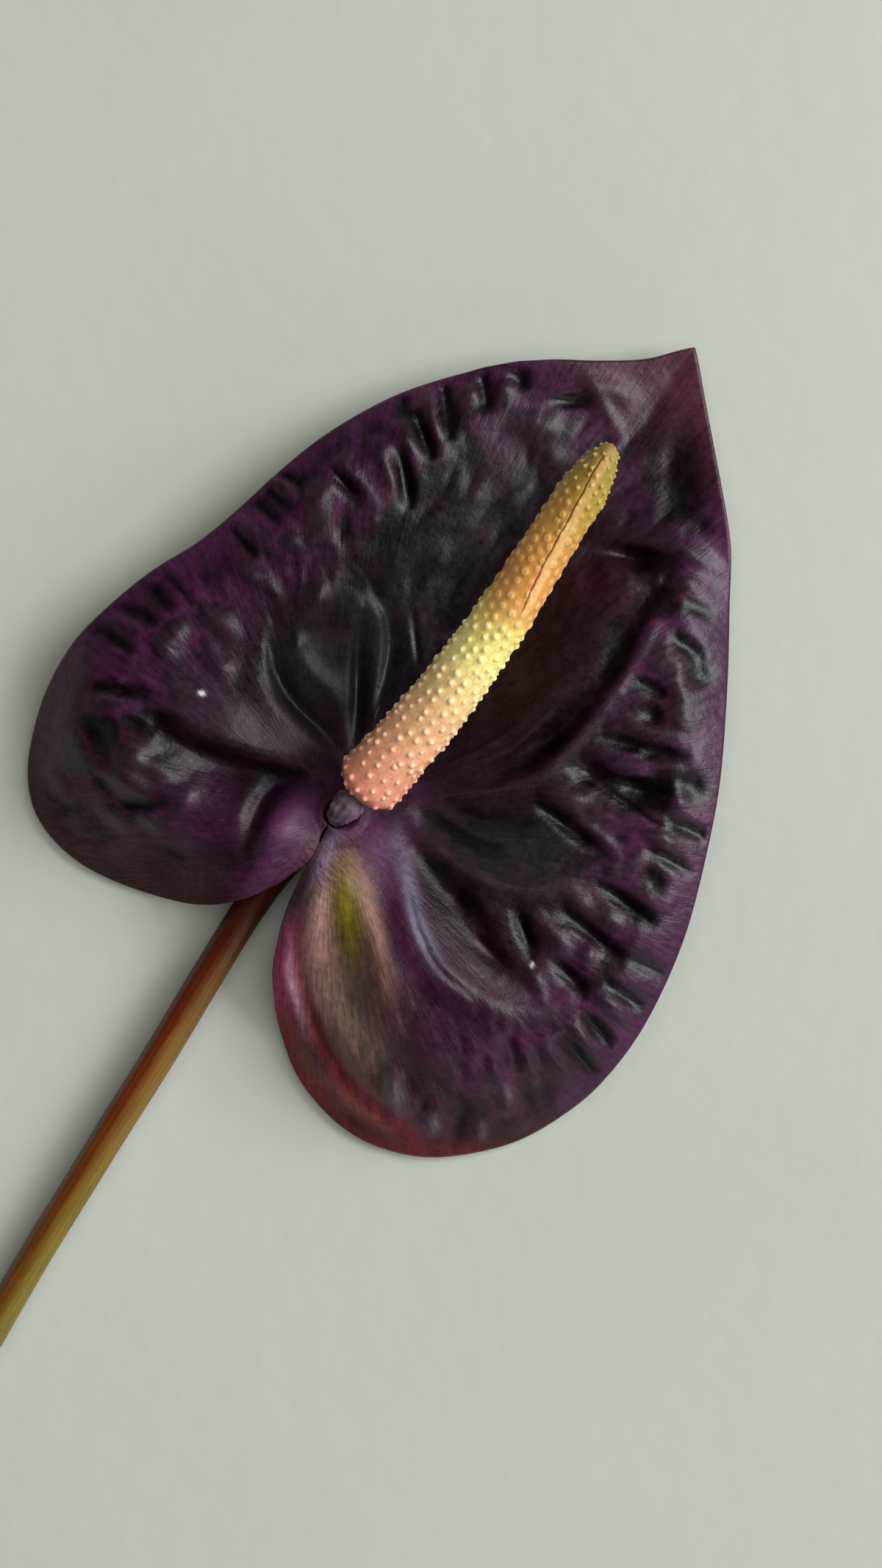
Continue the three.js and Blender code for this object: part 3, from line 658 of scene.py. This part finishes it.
def make_spathe():
    columns, rows = SPATHE_COLUMNS, SPATHE_ROWS
    column = np.repeat(np.linspace(0, 1, columns + 1), rows + 1).reshape(columns + 1, rows + 1)
    row = np.tile(np.linspace(0, 1, rows + 1), (columns + 1, 1))
    plan = blade_plan(column, row)
    x, y = plan[..., 0], plan[..., 1]
    edge = margin_distance(x, y)
    folds, small, collar = blade_relief(x, y, edge)
    z = blade_height(x, y, edge) + folds + small + collar
    relief = np.clip(0.7 * folds, -1, 1) + 1.6 * small
    upper = np.dstack([x, y, z])
    normal = grid_normals(upper)
    normal *= np.sign(normal[..., 2:])
    # at each lobe's inner corner the rays run along the rim, so directions come from further round
    for corner, step in ((0, 1), (columns, -1)):
        for n in range(CORNER_COLUMNS):
            own = n / CORNER_COLUMNS + (1 - n / CORNER_COLUMNS) * (1 - smooth(row[0], 0.8, 0.95))
            clear = normal[corner + step * CORNER_COLUMNS]
            normal[corner + step * n] = mix(clear, normal[corner + step * n], own[:, None])

    thickness = mix(THICKNESS_MARGIN, THICKNESS_CENTRE, smooth(edge, 0, 14))[..., None]
    lower = (upper - normal * thickness)[::2, ::2]
    lower_count = (columns // 2 + 1, rows // 2 + 1)

    points = [upper.reshape(-1, 3)]
    start_lower = (columns + 1) * (rows + 1)
    points.append(lower.reshape(-1, 3))
    at_upper = lambda i, j: i * (rows + 1) + j
    at_lower = lambda i, j: start_lower + i * lower_count[1] + j
    faces = []
    for i in range(columns):
        for j in range(rows):
            faces.append((at_upper(i, j), at_upper(i + 1, j), at_upper(i + 1, j + 1), at_upper(i, j + 1)))
    for i in range(columns // 2):
        for j in range(rows // 2):
            faces.append((at_lower(i, j), at_lower(i, j + 1), at_lower(i + 1, j + 1), at_lower(i + 1, j)))

    # the rim is rounded by a ring halfway down it, pushed outwards
    ring = rim_walk(columns, rows, at_upper)
    ring_normal = normal.reshape(-1, 3)[ring]
    ring_points = points[0][ring]
    ahead = np.roll(ring_points, -1, axis=0) - np.roll(ring_points, 1, axis=0)
    outwards = np.cross(ring_normal, ahead)
    outwards /= np.maximum(np.linalg.norm(outwards, axis=1, keepdims=True), 1e-9)
    ring_thickness = thickness.reshape(-1, 1)[ring]
    middle = ring_points - ring_normal * ring_thickness / 2 + outwards * RIM_BULGE
    start_middle = start_lower + lower_count[0] * lower_count[1]
    points.append(middle)
    middle_ring = list(range(start_middle, start_middle + len(ring)))
    for k in range(len(ring)):
        n = (k + 1) % len(ring)
        faces.append((ring[k], ring[n], middle_ring[n], middle_ring[k]))
    faces += stitch(middle_ring, rim_walk(columns // 2, rows // 2, at_lower), 2)

    points = np.vstack(points)
    spathe = make_object("spathe_blade", points, faces, "spathe")
    px, py = points[:, 0], points[:, 1]
    flat_edge = np.r_[edge.ravel(), edge[::2, ::2].ravel(), np.zeros(len(ring))]
    flat_relief = np.r_[relief.ravel(), relief[::2, ::2].ravel(), np.zeros(len(ring))]
    set_attribute(spathe, "color_and_painted_light", blade_colors(px, py, flat_edge, flat_relief))
    around = np.r_[column.ravel(), column[::2, ::2].ravel(), column.ravel()[ring]] * 160
    outward = np.r_[row.ravel(), row[::2, ::2].ravel(), row.ravel()[ring]] * 5
    flow = np.column_stack([around, outward, np.zeros(len(around))])
    set_attribute(spathe, "flow", flow)
    face_down = np.r_[np.zeros(start_lower), np.ones(start_middle - start_lower), np.full(len(ring), 0.4)]
    set_attribute(spathe, "underside", face_down)
    wrinkled = near_spot((3.5, -9, 4, 7, 0), px, py) + 0.8 * near_spot((6, -2.5, 4, 3, 0), px, py)
    set_attribute(spathe, "wrinkled", np.clip(wrinkled, 0, 1))
    centre = near_spot((-6, 42, 15, 30, 0), px, py) + near_spot((11, 38, 9, 24, 10), px, py)
    set_attribute(spathe, "lively", 1 - 0.85 * np.clip(centre, 0, 1))
    spathe.data.materials.append(spathe_material())
    return spathe


def spathe_material():
    m = Nodes("waxy_spathe")
    where = m.place()
    flow = m.attribute("flow", "Vector")
    streaks = m.noise(flow, 2.2, detail=6, roughness=0.65)
    cloud = m.noise(where, 90.0, detail=3)
    grain = m.noise(where, 900.0, detail=3)
    color_and_painted_light = m.attribute("color_and_painted_light", "Color")
    shade = m.ranged(cloud, 0.3, 0.7, 0.66, 1.34)
    fibre = m.ranged(streaks, 0.3, 0.7, 0.56, 1.44)
    color = m.shaded(color_and_painted_light, m.times(m.times(shade, fibre), m.ranged(grain, 0.3, 0.7, 0.78, 1.22)))
    blotch = m.noise(where, 260.0, detail=5, roughness=0.7)
    bloom = m.times(m.ranged(blotch, 0.48, 0.75, 0, 0.3), m.ranged(cloud, 0.4, 0.6, 0.2, 1))
    color = m.over(bloom, color, (76, 40, 68))
    color = m.over(m.times(m.attribute("underside"), 0.85), color, (74, 46, 40))
    m.link(color, "Base Color")
    m.link(m.ranged(grain, 0.3, 0.7, 0.30, 0.42), "Roughness")
    fine = m.bump(grain, 0.0001, 0.6)
    lively = m.attribute("lively")
    crinkle = m.bump(m.times(lively, m.noise(where, 420.0, detail=4)), 0.0003, 0.5, fine)
    furrow = m.noise(m.place((0.3, 1.5, 1)), 700.0, detail=3)
    furrowed = m.bump(m.times(m.attribute("wrinkled"), furrow), 0.0009, 0.9, crinkle)
    m.link(m.bump(m.times(lively, streaks), 0.0002, 0.6, furrowed), "Normal")
    m.set(IOR=1.34)
    return m.material


# ------------------------------------------------------------------ bent round pieces

def bent_frame(line, share):
    """Centre, side, rise and tangent of a bent axis at each share of its length."""
    dense = catmull_rom(line, 400)
    centre = at_share(dense, share)
    tangent = at_share(np.gradient(dense, axis=0), share)
    tangent /= np.linalg.norm(tangent, axis=-1, keepdims=True)
    side = np.cross(tangent, (0, 0, 1))
    side /= np.linalg.norm(side, axis=-1, keepdims=True)
    return centre, side, np.cross(side, tangent), tangent


def line_length(line):
    dense = catmull_rom(line, 400)
    return float(np.linalg.norm(np.diff(dense, axis=0), axis=1).sum())


def turn_angles(sides):
    return np.arange(sides) * 2 * math.pi / sides


def outwards_at(angle, side, rise):
    """The direction out of a bent axis: the angle is 0 on its right and runs over the top."""
    return np.cos(angle)[..., None] * side + np.sin(angle)[..., None] * rise


def tube_faces(rings, sides):
    """Faces of a tube whose first and last points are the two poles."""
    faces = []
    at = lambda i, j: 1 + i * sides + j % sides
    last = 1 + rings * sides
    for j in range(sides):
        faces.append((0, at(0, j + 1), at(0, j)))
        faces.append((last, at(rings - 1, j), at(rings - 1, j + 1)))
        for i in range(rings - 1):
            faces.append((at(i, j), at(i, j + 1), at(i + 1, j + 1), at(i + 1, j)))
    return faces


def spadix_radius(share, length):
    taper = mix(SPADIX_BASE_RADIUS, SPADIX_TIP_RADIUS, share)
    base_end = np.minimum(1, share * length / SPADIX_BASE_ROUND)
    tip_end = np.minimum(1, (1 - share) * length / SPADIX_TIP_ROUND)
    return taper * np.sqrt(1 - (1 - base_end) ** 2) * np.sqrt(1 - (1 - tip_end) ** 2)


def spadix_surface(share, angle, length):
    """Points of the spadix's bare surface."""
    centre, side, rise, _ = bent_frame(SPADIX_LINE, share)
    return centre + spadix_radius(share, length)[..., None] * outwards_at(angle, side, rise)


def bead_places(length, random):
    """Shares and angles of the beads, which stand in long columns, each a little ahead of the last."""
    share, angle = [], []
    for column in range(BEAD_COLUMNS):
        lead = (column * BEAD_LEAD) % 1
        for k in range(int(length / BEAD_PITCH)):
            share.append((k + lead) * BEAD_PITCH / length)
            angle.append((column + 0.012 * k) * 2 * math.pi / BEAD_COLUMNS)
    share = np.array(share) + random.normal(0, 0.0055, len(share))
    angle = np.array(angle) + random.normal(0, 0.06, len(angle))
    kept = (share > 0.004) & (share < 0.99)
    return share[kept], angle[kept]


# The split runs down the spadix's upper right face: share along it and angle from the top.
SPLIT = [(0.985, 12), (0.9, 0), (0.82, -8), (0.72, -14), (0.58, -30)]


def make_spadix():
    length = line_length(SPADIX_LINE)
    rings, sides = SPADIX_RINGS, SPADIX_SIDES
    bend = np.linspace(0, math.pi, rings + 2)[1:-1]
    even = np.linspace(0, 1, rings + 2)[1:-1]
    ends = (1 - np.cos(bend)) / 2
    near_end = np.clip(1 - np.minimum(even, 1 - even) * 8, 0, 1)
    ring_share = mix(even, ends, 0.5 + 0.5 * near_end)
    share = np.repeat(ring_share, sides).reshape(rings, sides)
    angle = np.tile(turn_angles(sides), (rings, 1))
    bare = spadix_surface(share, angle, length)
    wrapped = np.concatenate([bare[:, -1:], bare, bare[:, :1]], axis=1)
    normal = grid_normals(wrapped)[:, 1:-1]
    centre = bent_frame(SPADIX_LINE, share)[0]
    normal *= np.sign(np.sum(normal * (bare - centre), axis=-1, keepdims=True))

    random = np.random.default_rng(7)
    bead_share, bead_angle = bead_places(length, random)
    bead_size = random.uniform(0.72, 1.12, len(bead_share))
    bead_point = spadix_surface(bead_share, bead_angle, length)
    tree = KDTree(len(bead_point))
    for k, p in enumerate(bead_point):
        tree.insert(p, k)
    tree.balance()
    flat = bare.reshape(-1, 3)
    first = np.zeros(len(flat))
    second = np.zeros(len(flat))
    which = np.zeros(len(flat), int)
    for k, p in enumerate(flat):
        found = tree.find_n(p, 2)
        first[k], second[k], which[k] = found[0][2], found[1][2], found[0][1]
    size = bead_size[which]
    upper = smooth(bead_share[which], 0.5, 0.6) * (1 - smooth(bead_share[which], 0.8, 0.92))
    near_tip = smooth(bead_share[which], 0.8, 0.95)
    radius = BEAD_RADIUS * size * mix(1, 1.2, upper) * mix(1, 0.72, near_tip)
    dome = np.sqrt(np.clip(1 - (first / radius) ** 2, 0, 1))
    foot = bell(first, radius * 1.1)
    bead = 0.7 * dome + 0.3 * foot
    dimple = upper * bell(first, 0.22)
    height = BEAD_HEIGHT * size * mix(1, 0.7, upper) * bead - DIMPLE_DEPTH * dimple
    seam = bell(second - first, 0.25)
    height -= 0.03 * seam
    flat_share = share.ravel()

    split_share = [s for s, _ in SPLIT][::-1]
    split_angle = [math.radians(90 + a) for _, a in SPLIT][::-1]
    line_angle = np.interp(flat_share, split_share, split_angle)
    wander = 0.012 * np.sin(flat_share * 90) + 0.008 * np.sin(flat_share * 217)
    across = (angle.ravel() - line_angle - wander) * spadix_radius(flat_share, length)
    open_share = smooth(flat_share, 0.57, 0.62) * (1 - smooth(flat_share, 0.96, 0.99))
    split = bell(across, 0.085) * open_share
    strip = smooth(-across, 0.05, 0.3) * (1 - smooth(-across, 1.0, 1.9)) * open_share
    strip *= mix(1, 0.45, smooth(flat_share, 0.8, 0.92))
    height = height * (1 - 0.6 * strip) - SPLIT_DEPTH * split + 0.1 * strip
    round_it = angle.ravel()
    lumps = 0.1 * np.sin(flat_share * 31 + 2 * np.sin(round_it)) * np.sin(2 * round_it + flat_share * 9)
    surface = flat + normal.reshape(-1, 3) * (height + lumps)[:, None]

    poles = spadix_surface(np.array([0.0, 1.0]), np.zeros(2), length)
    points = np.vstack([poles[:1], surface, poles[1:]])
    spadix = make_object("spadix_finger", points, tube_faces(rings, sides), "spadix")
    pad = lambda values: np.r_[0, values, 0]
    set_attribute(spadix, "along", np.r_[0, flat_share, 1])
    set_attribute(spadix, "bead", pad(np.clip(bead, 0, 1)))
    set_attribute(spadix, "dimple", pad(dimple))
    set_attribute(spadix, "seam", pad(seam))
    set_attribute(spadix, "split", pad(split))
    set_attribute(spadix, "strip", pad(strip))
    set_attribute(spadix, "rightwards", pad(np.cos(angle.ravel())))
    spadix.data.materials.append(spadix_material())
    return spadix


def spadix_material():
    m = Nodes("fleshy_spadix")
    where = m.place()
    cloud = m.noise(where, 220.0, detail=3)
    grain = m.noise(where, 1600.0, detail=3)
    along = m.math("ADD", m.attribute("along"), m.ranged(cloud, 0.2, 0.8, -0.035, 0.035))
    skin = m.ramp(along, [
        (0.0, (206, 108, 96)), (0.06, (222, 142, 118)), (0.22, (230, 172, 130)),
        (0.36, (234, 196, 136)), (0.45, (240, 232, 146)), (0.52, (238, 218, 122)),
        (0.6, (204, 132, 60)), (0.74, (204, 142, 74)), (0.85, (174, 134, 62)),
        (0.93, (140, 120, 48)), (1.0, (112, 86, 44)),
    ])
    bright = m.ramp(along, [
        (0.0, (246, 190, 172)), (0.25, (250, 220, 188)), (0.45, (250, 244, 190)),
        (0.62, (236, 188, 120)), (0.8, (222, 176, 100)), (1.0, (186, 156, 90)),
    ])
    bead = m.attribute("bead")
    # partly painted highlight: each bead made paler towards its top by its dome height, over the beads'
    # own paler colour
    color = m.blend(m.ranged(bead, 0.15, 0.95, 0.0, 0.75), skin, bright)
    # painted highlight: the band beside the split, which faces the light, made pale
    color = m.over(m.times(m.attribute("strip"), 0.7), color, (236, 190, 124))
    olive = m.times(m.ranged(m.attribute("rightwards"), 0.1, 0.9), m.ranged(along, 0.74, 0.86))
    color = m.over(m.times(olive, 0.55), color, (148, 140, 30))
    color = m.over(m.times(m.attribute("dimple"), 0.5), color, (150, 84, 36))
    color = m.over(m.times(m.attribute("seam"), 0.22), color, (160, 92, 56))
    color = m.over(m.attribute("split"), color, (104, 58, 28))
    m.link(color, "Base Color")
    m.link(m.ranged(bead, 0.0, 1.0, 0.5, 0.34), "Roughness")
    m.link(m.bump(grain, 0.0001, 0.5), "Normal")
    m.set(Subsurface_Weight=0.12, Subsurface_Radius=(0.0012, 0.0007, 0.0004), Subsurface_Scale=1.0)
    m.set(IOR=1.42)
    return m.material


# ------------------------------------------------------------------ the stipe and the stem

def make_stipe():
    rings, sides = STIPE_RINGS, STIPE_SIDES
    share = np.repeat(np.linspace(0.004, 0.996, rings), sides).reshape(rings, sides)
    angle = np.tile(turn_angles(sides), (rings, 1))
    centre, side, rise, _ = bent_frame(STIPE_LINE, share)
    ends = np.sqrt(np.clip(1 - (1 - np.minimum(1, np.minimum(share, 1 - share) * 5)) ** 2, 0, 1))
    radius = mix(STIPE_FOOT_RADIUS, STIPE_NECK_RADIUS, smooth(share, 0.45, 0.62)) * ends
    folds = 0.12 * np.cos(7 * angle + 3 * share) + 0.08 * np.cos(11 * angle - 5 * share)
    radius = radius + folds * ends + 0.08 * np.sin(share * 26 + 2 * angle) * ends
    points = centre + radius[..., None] * outwards_at(angle, side, rise)
    poles = at_share(catmull_rom(STIPE_LINE, 100), np.array([0.0, 1.0]))
    points = np.vstack([poles[:1], points.reshape(-1, 3), poles[1:]])
    stipe = make_object("stipe_stub", points, tube_faces(rings, sides), "stipe")
    m = Nodes("stipe_skin")
    where = m.place()
    cloud = m.noise(where, 420.0, detail=4)
    grain = m.noise(where, 1500.0, detail=3)
    skin = m.ramp(cloud, [(0.25, (74, 50, 70)), (0.5, (112, 92, 110)), (0.75, (150, 134, 146))])
    m.link(skin, "Base Color")
    m.link(m.ranged(grain, 0.3, 0.7, 0.45, 0.65), "Roughness")
    m.link(m.bump(grain, 0.0002, 0.6), "Normal")
    stipe.data.materials.append(m.material)
    return stipe


def make_stem():
    length = line_length(STEM_LINE)
    rings, sides = STEM_RINGS, STEM_SIDES
    share = np.repeat(np.linspace(0, 1, rings), sides).reshape(rings, sides)
    angle = np.tile(turn_angles(sides), (rings, 1))
    centre, side, rise, tangent = bent_frame(STEM_LINE, share)
    radius = mix(STEM_CUT_RADIUS, STEM_TOP_RADIUS - STEM_SWELL, share)
    radius += STEM_SWELL * smooth(share, 0.85, 0.97)
    ribs = 0.035 * np.cos(9 * angle + 1.5 * np.sin(share * 7)) + 0.02 * np.cos(17 * angle + 4 * share)
    swell = 0.03 * np.sin(share * 46 + angle) + 0.025 * np.sin(share * 19 - 2 * angle)
    radius = radius + ribs + swell
    points = centre + radius[..., None] * outwards_at(angle, side, rise)
    cut = 1 - smooth(share * length, 0, 4)
    slant = CUT_SLANT * radius * np.cos(angle) * cut
    points = points + slant[..., None] * tangent

    # the cut face: rings that run in from the rim, a little sunk, and the domed top end
    inner = []
    for part in (0.96, 0.82, 0.62, 0.4, 0.2):
        ring = mix(centre[0], points[0], part)
        sink = CUT_SINK * (1 - part) - (0.05 if part > 0.9 else 0)
        inner.append(ring + tangent[0] * sink)
    dome = []
    for part, lift in ((0.9, 0.8), (0.7, 1.6), (0.4, 2.1)):
        dome.append(mix(centre[-1], points[-1], part) + tangent[-1] * lift)
    stack = np.stack(inner[::-1] + [points[k] for k in range(rings)] + dome)
    start = (centre[0, 0] + tangent[0, 0] * 0.2)[None]
    finish = (centre[-1, 0] + tangent[-1, 0] * STEM_DOME)[None]
    all_points = np.vstack([start, stack.reshape(-1, 3), finish])
    stem = make_object("stem", all_points, tube_faces(len(stack), sides), "peduncle")
    from_node = np.r_[np.full(len(inner), length), (1 - share[:, 0]) * length, np.zeros(len(dome))]
    set_attribute(stem, "from_node", np.r_[length, np.repeat(from_node, sides), 0])
    lean = np.tile(np.cos(turn_angles(sides)), len(stack))
    set_attribute(stem, "rightwards", np.r_[0, lean, 0])
    is_cut = np.r_[np.ones(len(inner) - 1), 0.6, np.zeros(rings + len(dome))]
    set_attribute(stem, "cut", np.r_[1, np.repeat(is_cut, sides), 0])
    stem.data.materials.append(stem_material())
    return stem


def stem_material():
    m = Nodes("stem_skin")
    where = m.place((1, 0.06, 1))
    fibre = m.noise(where, 1100.0, detail=4)
    cloud = m.noise(m.place((1, 0.3, 1)), 120.0, detail=3)
    grain = m.noise(m.place(), 1300.0, detail=3)
    reach = m.math("ADD", m.attribute("from_node"), m.ranged(cloud, 0.2, 0.8, -8, 8))
    along = m.ranged(reach, 0, 176)
    # painted shade over the stem's red-brown: the first stops, near the node where the stem lies under
    # the left lobe, are dark maroon
    left = m.ramp(along, [
        (0.0, (40, 12, 8)), (0.1, (44, 12, 4)), (0.18, (82, 32, 8)), (0.28, (96, 36, 6)),
        (0.42, (100, 56, 14)), (0.6, (96, 62, 14)), (1.0, (92, 74, 18)),
    ])
    right = m.ramp(along, [
        (0.0, (42, 14, 8)), (0.1, (46, 16, 5)), (0.18, (78, 46, 12)), (0.28, (116, 84, 34)),
        (0.42, (106, 84, 20)), (0.6, (106, 92, 24)), (1.0, (98, 92, 30)),
    ])
    lean = m.math("ADD", m.attribute("rightwards"), m.ranged(cloud, 0.2, 0.8, -0.3, 0.3))
    color = m.blend(m.ranged(lean, -0.3, 0.5), left, right)
    color = m.shaded(color, m.ranged(fibre, 0.3, 0.7, 0.8, 1.18))
    pith = m.ramp(m.noise(m.place(), 1500.0, detail=2), [
        (0.35, (170, 176, 110)), (0.5, (206, 208, 150)), (0.62, (150, 150, 84)),
    ])
    color = m.blend(m.attribute("cut"), color, pith)
    m.link(color, "Base Color")
    m.link(m.ranged(grain, 0.3, 0.7, 0.3, 0.42), "Roughness")
    m.link(m.bump(fibre, 0.0002, 0.5, m.bump(grain, 0.00008, 0.4)), "Normal")
    m.set(Coat_Weight=0.05, Coat_Roughness=0.25, IOR=1.4)
    return m.material


# ------------------------------------------------------------------ floor, light and camera

CAMERA_OVER = (10.06, 13.74)  # the point of the flower that the lens looks straight down on
CAMERA_HEIGHT = 392
CAMERA_TURN = math.radians(37.5)
CAMERA_LENS = 55.7
FLOOR_HALF = 3.0  # metres, as is the floor's drop
FLOOR_DROP = 0.0003  # keeps the floor clear of what rests on it


def make_floor():
    mesh = bpy.data.meshes.new("floor")
    corners = [(-1, -1), (1, -1), (1, 1), (-1, 1)]
    mesh.from_pydata([(x * FLOOR_HALF, y * FLOOR_HALF, 0) for x, y in corners], [], [(0, 1, 2, 3)])
    floor = bpy.data.objects.new("floor", mesh)
    bpy.context.scene.collection.objects.link(floor)
    floor.location.z = -FLOOR_DROP
    m = Nodes("painted_floor")
    where = m.place()
    cloud = m.noise(where, 8.0, detail=2)
    m.link(m.ramp(cloud, [(0.3, (171, 174, 166)), (0.7, (178, 181, 172))]), "Base Color")
    m.link(m.bump(m.noise(where, 160.0, detail=3), 0.0006, 0.25), "Normal")
    m.set(Roughness=0.85)
    floor.data.materials.append(m.material)


def make_light(name, away, flower, size, power, color):
    """A soft rectangular lamp that stands `away` from the flower, in metres, and faces it."""
    data = bpy.data.lights.new(name, "AREA")
    data.shape = "RECTANGLE"
    data.size, data.size_y = size
    data.energy = power
    data.color = color
    lamp = bpy.data.objects.new(name, data)
    lamp.location = flower + Vector(away)
    aim = flower - lamp.location
    lamp.rotation_mode = "QUATERNION"
    lamp.rotation_quaternion = aim.to_track_quat("-Z", "Y")
    bpy.context.scene.collection.objects.link(lamp)
    return lamp


def make_room():
    """A room that is dim overhead and pale round the horizon."""
    world = bpy.data.worlds.new("room")
    bpy.context.scene.world = world
    world.use_nodes = True
    tree = world.node_tree
    way = tree.nodes.new("ShaderNodeTexCoord").outputs["Generated"]
    split = tree.nodes.new("ShaderNodeSeparateXYZ")
    fall = tree.nodes.new("ShaderNodeMapRange")
    fall.interpolation_type = "SMOOTHSTEP"
    for socket, value in (("From Min", 0.1), ("From Max", 0.7), ("To Min", 0.14), ("To Max", 0.01)):
        fall.inputs[socket].default_value = value
    background = tree.nodes["Background"]
    tree.links.new(way, split.inputs[0])
    tree.links.new(split.outputs["Z"], fall.inputs["Value"])
    tree.links.new(fall.outputs["Result"], background.inputs["Strength"])
    background.inputs["Color"].default_value = (0.93, 0.95, 0.93, 1)


def make_stage():
    make_floor()
    make_room()
    flower = Vector(NODE) + Vector((0.01, 0.02, 0.01))
    make_light("key_window", (0.75, 0.95, 0.85), flower, (1.1, 0.6), 28, (0.94, 0.98, 1.0))
    overhead = make_light("overhead_fill", (0.2, 0.2, 1.6), flower, (2.0, 2.0), 20, (1, 0.99, 0.93))
    overhead.visible_glossy = False  # as through crossed polarisers, so that it leaves no haze
    make_light("side_fill", (1.3, -0.5, 0.6), flower, (0.8, 0.5), 3, (0.97, 0.98, 1.0))
    bpy.context.scene.view_settings.view_transform = "Standard"


def make_camera():
    data = bpy.data.cameras.new("camera")
    data.lens = CAMERA_LENS
    data.sensor_width = 36
    data.clip_start, data.clip_end = 0.01, 20
    camera = bpy.data.objects.new("camera", data)
    over = np.array([CAMERA_OVER[0], CAMERA_OVER[1], CAMERA_HEIGHT]) * MM + NODE
    camera.location = over.tolist()
    camera.rotation_euler = (0, 0, CAMERA_TURN)
    bpy.context.scene.collection.objects.link(camera)
    bpy.context.scene.camera = camera


make_stage()
make_camera()
make_spathe()
make_spadix()
make_stipe()
make_stem()
